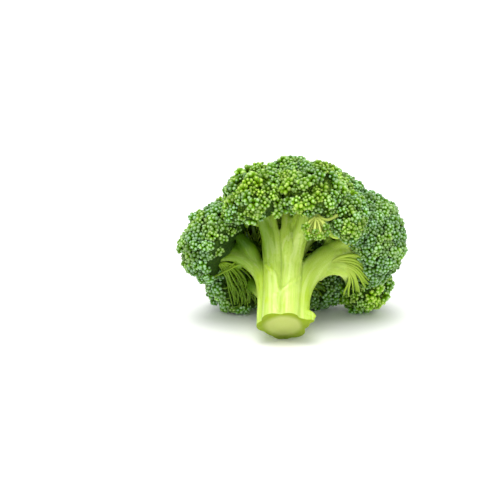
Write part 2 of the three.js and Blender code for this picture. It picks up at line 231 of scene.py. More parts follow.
# The brush of the small tuft: the point that it hangs towards, how many clusters it has, and how many evenly
# spread directions all round they are the first of
TUFT_TOWARDS = np.array((20.2, -47.2, 35.0))
TUFT_CLUSTERS = 26
TUFT_ROUND = 118

# How each floret's buds grow: how loose and clumped, how young and yellow and how pale they are, each from
# 0 to 1, and how far they go on under its rim, in radians
# the paleness of the top floret, and the youth and paleness of the low right one, are partly painted light
HABITS = {
    "top": (0.6, 0.42, 0.8, 0.1),
    "top_right": (0.4, 0.26, 0.74, 0.1),
    "top_left": (0.7, 0.4, 0.68, 0.15),
    "top_back": (0.35, 0.1, 0.62, 0.1),
    "front_left": (1.0, 0.4, 0.64, 0.02),
    "front_right": (1.0, 0.42, 0.64, 0.02),
    "side_right": (0.7, 0.25, 0.66, 0.42),
    "right": (0.25, 0.08, 0.62, 0.42),
    "right_low": (0.9, 0.8, 0.95, 0.8),
    "left": (0.6, 0.25, 0.62, 0.25),
    "back_left": (0.4, 0.15, 0.62, 0.15),
    "back": (0.3, 0.05, 0.62, 0.15),
    "back_right": (0.4, 0.15, 0.62, 0.3),
    "tuft": (1.0, 0.9, 0.62, 0.0),
}

# The middles of the spots where the buds are youngest and yellowest
YOUNG_SPOTS = np.array(((0.0, -59.4, 67.8), (14.7, -61.3, 53.4), (23.7, -63.8, 60.3), (38.0, -34.1, 96.0),
                        (-17.4, -56.6, 53.8)))


def laid_down(points):
    """Points of the growing head, in millimetres up the stalk, as metres in the frame where it lies."""
    x, y, z = np.asarray(points, dtype=float).T
    along = y * math.cos(LEAN) + z * math.sin(LEAN)
    height = -y * math.sin(LEAN) + z * math.cos(LEAN)
    return (np.column_stack((x, along, height)) + CUT_CENTRE) * MM


def unit(vectors):
    return vectors / np.linalg.norm(vectors, axis=-1, keepdims=True)


def turn_to(way):
    """The matrix that turns +Z to a direction."""
    return np.array(Vector((0, 0, 1)).rotation_difference(Vector(way)).to_matrix())


def count_over(radius, spacing):
    """How many points with a spacing, each inside its own hexagon, cover a sphere."""
    return round(4 * math.pi * radius**2 / (math.sqrt(3) / 2 * spacing**2))


def spiral(count):
    """Evenly spread directions on the unit sphere, with the first ones round +Z."""
    i = np.arange(count)
    z = 1 - (2 * i + 1) / count
    ring = np.sqrt(1 - z * z)
    return np.column_stack((ring * np.cos(i * GOLDEN_ANGLE), ring * np.sin(i * GOLDEN_ANGLE), z))


def smooth_step(x, low, high):
    """The place of x between two others, from 0 to 1, eased at both ends."""
    t = np.clip((x - low) / (high - low), 0, 1)
    return t * t * (3 - 2 * t)


class Floret:
    """The place and form of one floret in the growing head."""

    def __init__(self, name):
        centre, self.radius, rim, self.fan, branch = FLORETS[name]
        self.name = name
        self.centre = np.array(centre, dtype=float)
        self.rim = math.radians(rim)
        self.branch = np.array(branch, dtype=float)
        self.axis = unit(self.centre - HUB)
        self.turn = turn_to(self.axis)
        self.clumps = spiral(count_over(self.radius, CLUMP_SPACING))
        self.looseness, self.youth, self.paleness, self.past_rim = HABITS[name]

    def out(self, directions):
        """Directions of the floret's own frame, whose +Z is its axis, in the growing head's frame."""
        return directions @ self.turn.T

    def lean(self, directions):
        """How far directions of the floret's own frame lean from its axis."""
        return np.arccos(np.clip(directions[:, 2], -1, 1))

    def reach(self, directions, early=0.0):
        """How far the floret reaches: a dome of swellings to its rim, or earlier, then a hollow bowl."""
        nearest = np.arccos(np.clip((directions @ self.clumps.T).max(axis=1), -1, 1))
        swelling = 0.5 - (2 * nearest * self.radius / CLUMP_SPACING) ** 2
        dome = self.radius + CLUMP_HEIGHT * swelling
        rim = self.rim - early
        share = smooth_step(self.lean(directions), rim, rim + BOWL_TURN)
        bowl = BUDDED_BOWL_SHARE if self.name == "right_low" else BOWL_SHARE
        return dome + (bowl * self.radius - dome) * share

    def seams(self):
        """The way to every other floret, its length, and how far along it the seam between the two lies."""
        for other in CROWN:
            if other is not self:
                between = other.centre - self.centre
                distance = np.linalg.norm(between)
                power = distance**2 + self.radius**2 - other.radius**2
                yield between, distance, power / (2 * distance)

    def reach_to_seams(self, outward):
        """How far a direction of the head's frame runs before the seam with another floret."""
        most = np.full(len(outward), np.inf)
        for between, distance, seam in self.seams():
            towards = outward @ between / distance
            meets = (seam - SEAM / 2) / np.maximum(towards, 0.01)
            most = np.where(towards > 0.01, np.minimum(most, meets), most)
        return most

    def past_seams(self, points):
        """How far points lie beyond the nearest seam, into another floret."""
        return np.max([(points - self.centre) @ between / distance - seam
                       for between, distance, seam in self.seams()], axis=0)

    def beside_columns(self, outward):
        """How far a direction of the head's frame lies to the side of the front flutes' tops, from 0 to 1."""
        across = self.centre[0] + outward[:, 0] * self.radius
        return smooth_step(np.abs(across - COLUMNS_X), *COLUMNS_FADE)

    def leaning(self, angle, turn):
        """The direction that leans by an angle from the axis, at a turn round it."""
        across = unit(np.cross((0, 0, 1), self.axis))
        along = np.cross(self.axis, across)
        sideways = across * math.cos(turn) + along * math.sin(turn)
        return self.axis * math.cos(angle) + sideways * math.sin(angle)


CROWN = [Floret(name) for name in FLORETS]

# The florets whose stalks on the front side are listed one by one, so none are spread there by rule
SHOWN = ("right", "left", "right_low", "front_left", "front_right")

# The way to the side of the cut end, from which the stalks show, in the growing head's frame
TO_FRONT = np.array((0.0, -0.81, -0.59))


class Wire:
    """A socket of a material, on which plain arithmetic adds Math nodes."""

    def __init__(self, recipe, socket):
        self.recipe = recipe
        self.socket = socket

    def math(self, operation, *values):
        return self.recipe.node("ShaderNodeMath", {"operation": operation}, dict(enumerate(values)))

    def __add__(self, other):
        return self.math("ADD", self, other)

    def __sub__(self, other):
        return self.math("SUBTRACT", self, other)

    def __rsub__(self, other):
        return self.math("SUBTRACT", other, self)

    def __mul__(self, other):
        return self.math("MULTIPLY", self, other)

    __radd__ = __add__
    __rmul__ = __mul__

    def at_most(self, limit):
        return self.math("MINIMUM", self, limit)

    def to(self, low, high):
        """This value's place between two others, from 0 to 1."""
        return self.recipe.node("ShaderNodeMapRange", {"interpolation_type": "SMOOTHSTEP"},
                                {"Value": self, "From Min": low, "From Max": high})


class Recipe:
    """A material with one Principled shader, put together node by node."""

    def __init__(self, name):
        self.material = bpy.data.materials.new(name)
        self.material.use_nodes = True
        self.nodes = self.material.node_tree.nodes
        self.links = self.material.node_tree.links
        self.shader = self.nodes["Principled BSDF"]

    def node(self, kind, settings, values, output=0):
        """Adds a node with its settings and what its sockets get, and returns one of its outputs."""
        made = self.nodes.new(kind)
        for setting, value in settings.items():
            setattr(made, setting, value)
        for socket, value in values.items():
            self.plug(made.inputs[socket], value)
        return Wire(self, made.outputs[output])

    def plug(self, socket, value):
        if isinstance(value, Wire):
            self.links.new(value.socket, socket)
        elif hasattr(socket.default_value, "__len__") and len(socket.default_value) == 4:
            socket.default_value = (*value[:3], 1)
        else:
            socket.default_value = value

    def attribute(self, name, output="Fac"):
        return self.node("ShaderNodeAttribute", {"attribute_name": name}, {}, output)

    def place(self):
        return self.node("ShaderNodeTexCoord", {}, {}, "Object")

    def noise(self, vector, scale, detail=3, roughness=0.5):
        values = {"Vector": vector, "Scale": scale, "Detail": detail, "Roughness": roughness}
        return self.node("ShaderNodeTexNoise", {}, values, "Fac")

    def part(self, vector, axis):
        """One of a vector's three numbers."""
        return self.node("ShaderNodeSeparateXYZ", {}, {0: vector}, axis)

    def mix(self, factor, one, other, blend="MIX"):
        """One colour turned into another. A Mix node's colours are its sockets 6 and 7, and its output 2."""
        values = {0: factor, 6: one, 7: other}
        return self.node("ShaderNodeMix", {"data_type": "RGBA", "blend_type": blend}, values, 2)

    def set(self, **values):
        for name, value in values.items():
            self.plug(self.shader.inputs[name.replace("_", " ")], value)

    def bump(self, height, strength, distance):
        """Raises the surface by a height from 0 to 1, times a distance in metres."""
        values = {"Height": height, "Strength": strength, "Distance": distance}
        self.set(Normal=self.node("ShaderNodeBump", {}, values))


def width_of(name, description, default):
    return bpy.props.FloatProperty(name=name, description=description, default=default * MM, unit="LENGTH")


def green_of(name, description, default):
    return bpy.props.FloatVectorProperty(
        name=name, description=description, default=default, subtype="COLOR")


class BroccoliSettings(bpy.types.PropertyGroup):
    """Sizes and colours of the broccoli head."""

    bud_width: width_of("Bud width", "Width of a closed flower bud", 2.6)
    cluster_spacing: width_of("Cluster spacing", "Distance between clusters of buds", 6.6)
    cluster_width: width_of("Cluster width", "Width of the ball that a cluster's buds sit on", 5.6)
    fine_stalk: width_of("Fine stalk", "Width of the thin stalks under a floret", 1.3)
    # the tip colour holds the waxy bloom and a painted highlight
    tip_colour: green_of("Bud tip", "Blue green of the buds' waxy tips", (0.30, 0.49, 0.28))
    base_colour: green_of("Bud base", "Green of the buds' flanks", (0.09, 0.26, 0.003))
    young_colour: green_of("Young bud", "Yellow green of the youngest buds", (0.42, 0.58, 0.10))
    skin_colour: green_of("Stalk skin", "Pale green of the stalk", (0.55, 0.72, 0.13))
    # this deeper green is also mixed in as painted shade on the upper branches and the left side
    shade_colour: green_of("Stalk streaks", "Deeper green of the streaks and the upper branches",
                           (0.32, 0.52, 0.006))
    pith_colour: green_of("Pith", "Cream green in the middle of the cut", (0.50, 0.57, 0.14))
    ring_colour: green_of("Cut ring", "Green ring under the skin of the cut", (0.27, 0.38, 0.002))


def settings():
    return bpy.context.scene.broccoli


def nothing_selected():
    if bpy.context.mode != "OBJECT":
        bpy.ops.object.mode_set(mode="OBJECT")
    bpy.ops.object.select_all(action="DESELECT")


def mesh_object(name, vertices, faces):
    mesh = bpy.data.meshes.new(name)
    mesh.from_pydata(vertices, [], faces)
    mesh.update()
    made = bpy.data.objects.new(name, mesh)
    bpy.context.scene.collection.objects.link(made)
    return made


def points_of(thing):
    """The places of a mesh object's vertices."""
    points = np.empty(len(thing.data.vertices) * 3)
    thing.data.vertices.foreach_get("co", points)
    return points.reshape(-1, 3)


def triangles_of(thing):
    """The corners of a mesh object's triangles."""
    thing.data.calc_loop_triangles()
    triangles = np.empty(len(thing.data.loop_triangles) * 3, dtype=np.int32)
    thing.data.loop_triangles.foreach_get("vertices", triangles)
    return triangles.reshape(-1, 3)


def in_order(triangles):
    """The same triangles sorted, each from its lowest corner on: a new sphere's come in any order."""
    turned = (triangles.argmin(axis=1)[:, None] + np.arange(3)) % 3
    triangles = np.take_along_axis(triangles, turned, axis=1)
    return triangles[np.lexsort(triangles.T[::-1])]


def move_points(thing, points):
    thing.data.vertices.foreach_set("co", points.ravel())
    thing.data.update()


def give_attribute(thing, name, values):
    """Stores one number, or three, for every point of a mesh."""
    values = np.asarray(values, dtype=np.float32)
    kind, field = ("FLOAT", "value") if values.ndim == 1 else ("FLOAT_VECTOR", "vector")
    layer = thing.data.attributes.new(name, kind, "POINT")
    layer.data.foreach_set(field, values.ravel())


def finish_piece(piece, material, nodes):
    piece.data.materials.clear()
    piece.data.materials.append(material)
    for polygon in piece.data.polygons:
        polygon.use_smooth = True
    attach(piece, "root")
    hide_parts(*nodes)


def smooth_path(stations, count):
    """Points and radii along a smooth curve through stations of x, y, z and radius."""
    stations = np.asarray(stations, dtype=float)
    ends = np.vstack((2 * stations[0] - stations[1], stations, 2 * stations[-1] - stations[-2]))
    places = np.linspace(0, len(stations) - 1, count)
    start = np.minimum(places.astype(int), len(stations) - 2)
    t = (places - start)[:, None]
    a, b, c, d = (ends[start + k] for k in range(4))
    return 0.5 * (2 * b + (c - a) * t + (2 * a - 5 * b + 4 * c - d) * t**2 + (3 * b - 3 * c + d - a) * t**3)


def tube(path, sides):
    """Vertices and faces of a closed tube along a path of x, y, z and radius."""
    middle, radius = path[:, :3], path[:, 3]
    ahead = unit(np.gradient(middle, axis=0))
    across = np.empty_like(ahead)
    aslant = (0.31, 0.87, 0.38)
    side = np.cross(ahead[0], aslant)
    for i, direction in enumerate(ahead):
        side = side - direction * (side @ direction)
        side = side / np.linalg.norm(side)
        across[i] = side
    other = np.cross(ahead, across)
    angle = np.linspace(0, 2 * math.pi, sides, endpoint=False)
    ring = across[:, None] * np.cos(angle)[:, None] + other[:, None] * np.sin(angle)[:, None]
    vertices = middle[:, None] + radius[:, None, None] * ring
    faces = []
    for i in range(len(path) - 1):
        for k in range(sides):
            a, b = i * sides + k, i * sides + (k + 1) % sides
            faces.append((a, b, b + sides, a + sides))
    last = (len(path) - 1) * sides
    faces.append(tuple(range(sides - 1, -1, -1)))
    faces.append(tuple(range(last, last + sides)))
    return vertices.reshape(-1, 3), faces


def joined(shapes):
    """One list of vertices and one of faces out of several."""
    vertices, faces, start = [], [], 0
    for points, corners in shapes:
        vertices.append(points)
        faces.extend(tuple(corner + start for corner in face) for face in corners)
        start += len(points)
    return np.vstack(vertices), faces


def finely(path):
    """A path at 60 even steps of its points, and how far along it each of them lies."""
    places = np.linspace(0, len(path) - 1, 60)
    fine = np.column_stack([np.interp(places, np.arange(len(path)), path[:, k]) for k in range(4)])
    steps = np.linalg.norm(np.diff(fine[:, :3], axis=0), axis=1)
    return fine, np.concatenate(([0], np.cumsum(steps)))


def groove_between(nearest, next_nearest, height, width, none_at, full_at):
    """How deep points lie in the groove between the two limbs nearest to them, from 0 to 1."""
    return np.clip(1 - (next_nearest - nearest) / width, 0, 1) * smooth_step(height, none_at, full_at)


def branch_paths():
    """The branches, each begun below the knife cut so that the cut has a full outline."""
    paths = []
    for floret in CROWN:
        stations = floret.branch
        if floret.name == "side_right":
            stations = np.vstack((SIDE_ROOT, stations))
        if stations[0, 2] < 0:
            below_cut = stations[0] - (0, 0, 7, 0)
            stations = np.vstack((below_cut, stations))
        paths.append(smooth_path(stations, count=28))
    return paths


def fan_paths():
    """The stout stalks: the listed ones, then those that arch out of a branch's end into its floret's rim."""
    paths = [smooth_path(rib, count=6 * len(rib)) for rib in (*RIGHT_RIBS, *FRONT_RIBS, *LEFT_RIBS)]
    for path in paths[1:len(RIGHT_RIBS)]:
        outer_half = path[len(path) // 2:]
        outer_half[:, 3] *= 0.8
    for floret in CROWN:
        if not floret.fan or "front" in floret.name:
            continue
        centre, radius, axis = floret.centre, floret.radius, floret.axis
        tip, before = floret.branch[-1], floret.branch[-2]
        root = before[:3] + 0.2 * (tip[:3] - before[:3])
        for k in range(floret.fan):
            turn = k / floret.fan * 2 * math.pi + radius
            outward = floret.leaning(math.pi / 2, turn)
            if floret.name in SHOWN and outward @ TO_FRONT > 0.1:
                continue
            low = centre - (0.6 * axis - 0.14 * outward) * radius
            bend = centre - (0.46 * axis - 0.42 * outward) * radius
            end = floret.leaning(floret.rim - 0.15, turn)
            end = centre + end * min(0.86 * radius, floret.reach_to_seams(end[None])[0] - 2.5)
            stations = ((*root, 0.6 * tip[3]), (*low, 0.5 * tip[3]), (*bend, 0.38 * tip[3]),
                        (*end, 0.22 * tip[3]))
            paths.append(smooth_path(stations, count=20))
    return paths


class BROCCOLI_OT_stalk(bpy.types.Operator):
    """Grow the stalk with its flutes, branches and cut end"""

    bl_idname = "broccoli.stalk"
    bl_label = "Stalk"

    def execute(self, context):
        paths = branch_paths() + fan_paths()
        edges = [smooth_path(scar, count=18) for scar in SCARS]
        limbs = [*paths, *edges, smooth_path(CORE, count=12)]
        vertices, faces = joined(tube(path, STOUT_SIDES) for path in limbs)
        stalk = mesh_object("stalk_body", vertices * MM, faces)
        nothing_selected()
        bpy.ops.mesh.primitive_uv_sphere_add(segments=20, ring_count=12, radius=MM, location=(0, 0, 0))
        bpy.ops.transform.resize(value=STUB_HALF)
        bpy.ops.transform.rotate(value=STUB_TURN, orient_axis="Y", center_override=(0, 0, 0))
        bpy.ops.transform.translate(value=[place * MM for place in STUB_MIDDLE])
        stalk.select_set(True)
        context.view_layer.objects.active = stalk
        bpy.ops.object.join()
        if len(stalk.data.vertices) == len(vertices):
            raise RuntimeError("the leaf stub did not join the stalk")

        remesh = stalk.modifiers.new("Skin", "REMESH")
        remesh.mode = "VOXEL"
        remesh.voxel_size = 0.75 * MM
        bpy.ops.object.modifier_apply(modifier=remesh.name)
        relax = stalk.modifiers.new("Relax", "SMOOTH")
        relax.factor = 0.55
        relax.iterations = 9
        bpy.ops.object.modifier_apply(modifier=relax.name)

        bpy.ops.object.mode_set(mode="EDIT")
        bpy.ops.mesh.select_all(action="SELECT")
        bpy.ops.mesh.bisect(plane_co=(0, 0, 0), plane_no=(0, 0, 1), use_fill=True, clear_inner=True)
        bpy.ops.mesh.select_all(action="SELECT")
        bpy.ops.mesh.quads_convert_to_tris()
        bpy.ops.object.mode_set(mode="OBJECT")

        self.mark_grain(stalk, paths)
        rested = laid_down(points_of(stalk) / MM)
        rested[:, 2] = np.maximum(rested[:, 2], 0)
        move_points(stalk, rested)
        finish_piece(stalk, stalk_skin(), ["stalk"])
        return {"FINISHED"}

    def mark_grain(self, stalk, paths):
        """Stores where every point lies on its branch and in the head, and how near a groove or the cut."""
        points = points_of(stalk) / MM
        count = len(points)
        margin, unset = 12, 9.0
        best, second = np.full(count, unset), np.full(count, unset)
        fork, next_fork = np.full(count, unset), np.full(count, unset)
        grain = points.copy()
        first_fork = len(CROWN) + len(RIGHT_RIBS)
        front_forks = range(first_fork, first_fork + len(FRONT_RIBS))
        for number, path in enumerate(paths):
            fine, length = finely(path)
            low, high = fine[:, :3].min(axis=0) - margin, fine[:, :3].max(axis=0) + margin
            if number < len(CROWN) and CROWN[number].name == "side_right":
                # its root runs inside the stem, which keeps its own grain up to here
                low[2] = 50
            near = np.flatnonzero(((points > low) & (points < high)).all(axis=1))
            for chunk in np.array_split(near, max(1, len(near) // 20000)):
                gap = np.linalg.norm(points[chunk][:, None] - fine[None, :, :3], axis=2) - fine[None, :, 3]
                nearest = gap.argmin(axis=1)
                least = gap[np.arange(len(chunk)), nearest]
                if number in front_forks:
                    next_fork[chunk] = np.minimum(next_fork[chunk], np.maximum(fork[chunk], least))
                    fork[chunk] = np.minimum(fork[chunk], least)
                    continue
                if number < len(CROWN):
                    second[chunk] = np.minimum(second[chunk], np.maximum(best[chunk], least))
                closer = least < best[chunk]
                chosen = chunk[closer]
                best[chosen] = least[closer]
                foot = nearest[closer]
                grain[chosen, :2] = (points[chosen] - fine[foot, :3])[:, :2] + GRAIN_APART * number
                grain[chosen, 2] = length[foot] * GRAIN_DRAWN
        give_attribute(stalk, "grain", grain)
        give_attribute(stalk, "grown", points)
        height = points[:, 2]
        groove = groove_between(best, second, height, *GROOVES)
        on_fork = fork < 1.5
        groove = np.maximum(groove, on_fork * groove_between(fork, next_fork, height, *FORK_GROOVES))
        # how deep in a groove: there the skin gets painted shade
        give_attribute(stalk, "groove", groove)
        give_attribute(stalk, "cut", height < 0.02)


def stalk_skin():
    """Pale waxy skin with lengthwise streaks, painted highlights and painted shade, and pale pith in a green
    ring on the cut.
    """
    sizes = settings()
    skin = Recipe("stalk_skin")
    grain = skin.attribute("grain", "Vector")
    grown = skin.attribute("grown", "Vector")
    side, back, height = (skin.part(grown, axis) for axis in range(3))
    left = 0 - side
    groove = skin.attribute("groove")
    streaks = skin.noise(grain, scale=0.9, detail=4, roughness=0.6)
    fine = skin.noise(grain, scale=3.2, detail=2)
    ridge_highlights = skin.noise(grain, scale=0.4, detail=1)
    patches = skin.noise(skin.place(), scale=55, detail=2)

    # greener in streaks, patches and upwards; the upward green is partly painted shade under the crown
    deep = streaks.to(0.42, 0.68) * 0.35 + height.to(22, 76) * 0.54 + patches.to(0.45, 0.75) * 0.25
    # painted shade on the left side of the stem
    deep = (deep + left.to(0, 16) * 0.3).at_most(1.0)
    colour = skin.mix(deep, sizes.skin_colour, sizes.shade_colour)
    # painted shade in the grooves between the flutes, deeper higher up
    colour = skin.mix(groove.to(0.2, 1.0) * (0.15 + height.to(6, 40) * 0.5), colour, (0.20, 0.34, 0.01))

    # yellower patches low on the stem, and painted shade, darker and greener, on its right edge
    colour = skin.mix(patches.to(0.5, 0.62) * height.to(48, 20) * 0.55, colour, (0.46, 0.64, 0.01))
    colour = skin.mix(side.to(10.5, 18) * height.to(46, 24) * 0.6, colour, (0.36, 0.56, 0.006))

    # painted highlights: pale streaks on the ridges and along the fine grain
    colour = skin.mix(ridge_highlights.to(0.5, 0.66) * 0.32, colour, (0.78, 0.88, 0.36))
    colour = skin.mix(fine.to(0.5, 0.8) * 0.3, colour, (0.78, 0.86, 0.34))

    # painted shade among the branches under the crown: behind, to the left, at the left fork and above the
    # right branch
    colour = skin.mix(back.to(-4, 6) * height.to(26, 44) * 0.9, colour, (0.05, 0.15, 0.002))
    colour = skin.mix(left.to(0, 12) * height.to(30, 50) * 0.7, colour, (0.09, 0.21, 0.001))
    colour = skin.mix(left.to(15, 23) * height.to(49, 56) * 0.8, colour, (0.03, 0.11, 0.001))
    # how far a point lies above the right branch, into the painted shadow of the florets over it
    over = height * 0.65 - side * 0.76
    colour = skin.mix(over.to(13.5, 20) * side.to(12, 24) * 0.75, colour, (0.06, 0.17, 0.002))

    # the knife cut: fibrous pith inside a wavering ring
    flat = skin.node("ShaderNodeVectorMath", {"operation": "MULTIPLY"}, {0: grown, 1: (1, 1, 0)})
    radius = skin.node("ShaderNodeVectorMath", {"operation": "LENGTH"}, {0: flat}, "Value")
    wobble = skin.noise(grown, scale=0.12, detail=1) * 2.4
    ring = (radius + wobble).to(10.5, 15.5)
    fibres = skin.noise(grown, scale=0.9, detail=4, roughness=0.7).to(0.35, 0.75)
    pith = skin.mix(fibres * 0.45, sizes.pith_colour, (0.50, 0.62, 0.16))
    cut_colour = skin.mix(ring, pith, sizes.ring_colour)
    cut = skin.attribute("cut").to(0.9, 0.99)
    skin.set(Base_Color=skin.mix(cut, colour, cut_colour))
    skin.set(Roughness=0.34 + cut * 0.12 + fine * 0.1)
    skin.set(Specular_IOR_Level=0.25, Coat_Weight=0.15 - cut * 0.15, Coat_Roughness=0.12)
    skin.set(Subsurface_Weight=0.2, Subsurface_Radius=(0.6, 1.0, 0.25), Subsurface_Scale=0.002)
    skin.bump(streaks * 0.8 + fine * 0.35, strength=0.5, distance=0.0006)
    return skin.material


def stalk_thin():
    """The thin stalks under the florets: deeper green towards the buds, partly painted shade in the hollows,
    pale yellow where they are young.
    """
    sizes = settings()
    skin = Recipe("fine_stalks")
    rise, young = skin.attribute("rise"), skin.attribute("young")
    mottle = skin.noise(skin.place(), scale=500, detail=2)
    # deeper green towards the ends: partly the stalks' own green, partly painted shade under the florets
    colour = skin.mix(rise.to(0.0, 0.8), sizes.shade_colour, (0.12, 0.24, 0.008))
    colour = skin.mix(mottle.to(0.4, 0.8) * 0.3, colour, (0.36, 0.50, 0.04))
    colour = skin.mix(young, colour, (0.58, 0.68, 0.14))
    skin.set(Base_Color=colour, Roughness=0.42, IOR=1.42)
    skin.bump(mottle, strength=0.3, distance=0.0003)
    return skin.material


def flesh():
    """What shows in the gaps between the clusters: the matted stalks that carry them, with painted shade
    between the threads and on the hollow underside.
    """
    skin = Recipe("floret_flesh")
    threads = skin.noise(skin.place(), scale=900, detail=3, roughness=0.7)
    young = skin.attribute("young")
    # near black between the threads: painted shade
    gaps = skin.mix(young, (0.02, 0.06, 0.002), (0.05, 0.13, 0.002))
    mat = skin.mix(young, (0.08, 0.19, 0.006), (0.28, 0.46, 0.006))
    colour = skin.mix(threads.to(0.45, 0.6), gaps, mat)
    # painted shade on the hollow underside
    colour = skin.mix(skin.attribute("under") * 0.85, colour, (0.015, 0.05, 0.001))
    skin.set(Base_Color=colour, Roughness=0.6, Specular_IOR_Level=0.2)
    skin.bump(threads, strength=0.9, distance=0.0012)
    return skin.material


def bud_skin():
    """Buds: blue green waxy tips with a painted highlight on yellower flanks, painted shade at their feet,
    each bud a little different.
    """
    sizes = settings()
    skin = Recipe("bud_skin")
    tip, tone, young = skin.attribute("tip"), skin.attribute("tone"), skin.attribute("young")
    flank = skin.mix(young, sizes.base_colour, (0.19, 0.40, 0.004))
    # the feet darken where the buds sink among each other: painted shade, less on young buds
    foot = skin.mix(young, (0.03, 0.10, 0.002), (0.24, 0.42, 0.004))
    # pale blue green tips: the waxy bloom, with a painted highlight
    waxy_tip_and_highlight = skin.mix(young, sizes.tip_colour, sizes.young_colour)
    colour = skin.mix(tip.to(0.70, 1.0), skin.mix(tip.to(0.1, 0.6), foot, flank), waxy_tip_and_highlight)
    # each bud's own tone, with painted shade on sunk clusters and painted light on some florets
    shade = skin.mix(tone, (0.42, 0.46, 0.40), (1.45, 1.40, 1.50))
    colour = skin.mix(1.0, colour, shade, blend="MULTIPLY")
    grains = skin.noise(skin.place(), scale=1400, detail=2)
    skin.set(Base_Color=colour, Roughness=0.32 + grains * 0.12, Specular_IOR_Level=0.25)
    skin.bump(grains, strength=0.25, distance=0.0003)
    return skin.material


class BROCCOLI_OT_fine_stalks(bpy.types.Operator):
    """Spread the thin stalks under every floret, from its branch to its rim"""

    bl_idname = "broccoli.fine_stalks"
    bl_label = "Fine stalks"

    def execute(self, context):
        chance = np.random.default_rng(STALK_SEED)
        *florets, tuft = CROWN
        under_florets = (path for floret in florets for path in self.under_floret(floret, chance))
        # each kind of thin stalk, with how far it turns to deeper green and painted shade and how young it
        # is, at its root and at its end; the random draws are made in this order, as the paths are taken
        kinds = (
            ([smooth_path(CURL, THIN_POINTS)], (0, 1), (0.6, 0.6)),
            (self.curtain(chance), (0.4, 1), (0, 0)),
            (self.arches(chance), (-0.4, 0.5), (0.6, 0)),
            (under_florets, (0, 1), (0, 0)),
            (self.tuft_stalks(tuft), (0, 1), (1, 1)),
        )
        tubes, rise, young = [], [], []
        for paths, green_and_shade_ends, young_ends in kinds:
            for path in paths:
                tubes.append(tube(path, THIN_SIDES))
                rise.append(np.repeat(np.linspace(*green_and_shade_ends, len(path)), THIN_SIDES))
                young.append(np.repeat(np.linspace(*young_ends, len(path)), THIN_SIDES))
        vertices, faces = joined(tubes)
        stalks = mesh_object("stalk_fine", laid_down(vertices), faces)
        give_attribute(stalks, "rise", np.concatenate(rise))
        give_attribute(stalks, "young", np.concatenate(young))
        finish_piece(stalks, stalk_thin(), ["stalk"])
        return {"FINISHED"}

    def curtain(self, chance):
        """Stalks that hang from the left branch, between the curtain's first and its last."""
        first, last = np.array(CURTAIN)
        for share in np.sort(chance.uniform(0, 0.85, HANGING_STALKS)):
            astray = chance.normal(0, 1, first.shape) * (1.1, 1.1, 1.1, 0.12)
            stations = first + (last - first) * share + astray * np.linspace(0.3, 1, len(first))[:, None]
            stations[:, 3] *= 0.7
            yield smooth_path(stations, THIN_POINTS)

    def arches(self, chance):
        """Stalks that arch over the fan of the right branch, between the listed ones."""
        arcs = [smooth_path(arc, THIN_POINTS) for arc in FAN]
        astray = np.linspace(0, 1, THIN_POINTS)[:, None]
        behind = np.linspace(1.7, -0.4, THIN_POINTS)[:, None]
        for place in np.linspace(0, len(arcs) - 1.001, ARCHED_STALKS):
            arc, share = int(place), place % 1
            between = arcs[arc] + (arcs[arc + 1] - arcs[arc]) * share
            between[:, :3] += astray * chance.normal(0, 0.8, 3)
            between[:, :3] -= behind * TO_FRONT
            between[:, 3] *= chance.uniform(0.65, 1.15)
            yield between

    def under_floret(self, floret, chance):
        """Stalks that spread from a branch's end over the hollow underside of its floret."""
        centre, radius, axis = floret.centre, floret.radius, floret.axis
        tip, before = floret.branch[-1], floret.branch[-2]
        number = round(radius * 1.3)
        half_width = settings().fine_stalk / MM / 2
        most_front = -0.3 if "front" in floret.name else 0.1
        for k in range(number):
            turn = (k + chance.uniform(-0.4, 0.4)) / number * 2 * math.pi
            outward = floret.leaning(math.pi / 2, turn)
            if floret.name in SHOWN and outward @ TO_FRONT > most_front:
                continue
            start = before[:3] + chance.uniform(-0.1, 0.95) * (tip[:3] - before[:3])
            bulge = chance.uniform(0.8, 1.1)
            low = 0.5 * start + 0.5 * (centre - (0.5 * axis - 0.26 * bulge * outward) * radius)
            bend = centre - (0.40 * axis - 0.50 * bulge * outward) * radius
            rim = floret.leaning(floret.rim + 0.2, turn + chance.normal(0, 0.08))
            rim = centre + rim * min(0.9 * bulge * radius, floret.reach_to_seams(rim[None])[0] - 1)
            end = floret.leaning(floret.rim - chance.uniform(0, 0.4), turn)
            end = centre + end * min(0.92 * radius, floret.reach_to_seams(end[None])[0] - 1.5)
            thick = half_width * chance.uniform(0.6, 1.4)
            stations = ((*start, 1.5 * thick), (*low, 1.25 * thick), (*bend, thick), (*rim, 0.8 * thick),
                        (*end, 0.6 * thick))
            yield smooth_path(stations, count=12)

    def tuft_stalks(self, floret):
        """Pale stalks that fan out of the side shoot's end, one to every cluster of its buds."""
        root = floret.branch[-1, :3]
        middles = tuft_places(floret)[0]
        down = unit(middles.mean(axis=0) - root)
        for middle in middles:
            away = middle - root
            bulge = away - (away @ down) * down
            bend = root + 0.5 * away + 0.12 * bulge
            yield smooth_path(((*root, 0.9), (*bend, 0.75), (*middle, 0.9)), count=10)


def bud_shape():
    """One bud, modelled once: a round head on a thin tapering foot. Returns its vertices and triangles."""
    nothing_selected()
    bpy.ops.mesh.primitive_uv_sphere_add(segments=7, ring_count=4, radius=1, location=(0, 0, 0))
    ball = bpy.context.object
    vertices, triangles = points_of(ball), in_order(triangles_of(ball))
    bpy.data.meshes.remove(ball.data)
    rings = (-1.0, -0.7071, 0.0, 0.7071, 1.0)
    ring = np.hypot(vertices[:, 0], vertices[:, 1])
    width = np.interp(vertices[:, 2], rings, (0.0, 0.55, 1.0, 0.70, 0.0)) / np.maximum(ring, 1e-6)
    vertices[:, :2] *= np.where(ring > 1e-3, width, 0)[:, None]
    vertices[:, 2] = np.interp(vertices[:, 2], rings, (BUD_FOOT, -1.15, -0.05, 0.70, BUD_TOP))
    return vertices, triangles


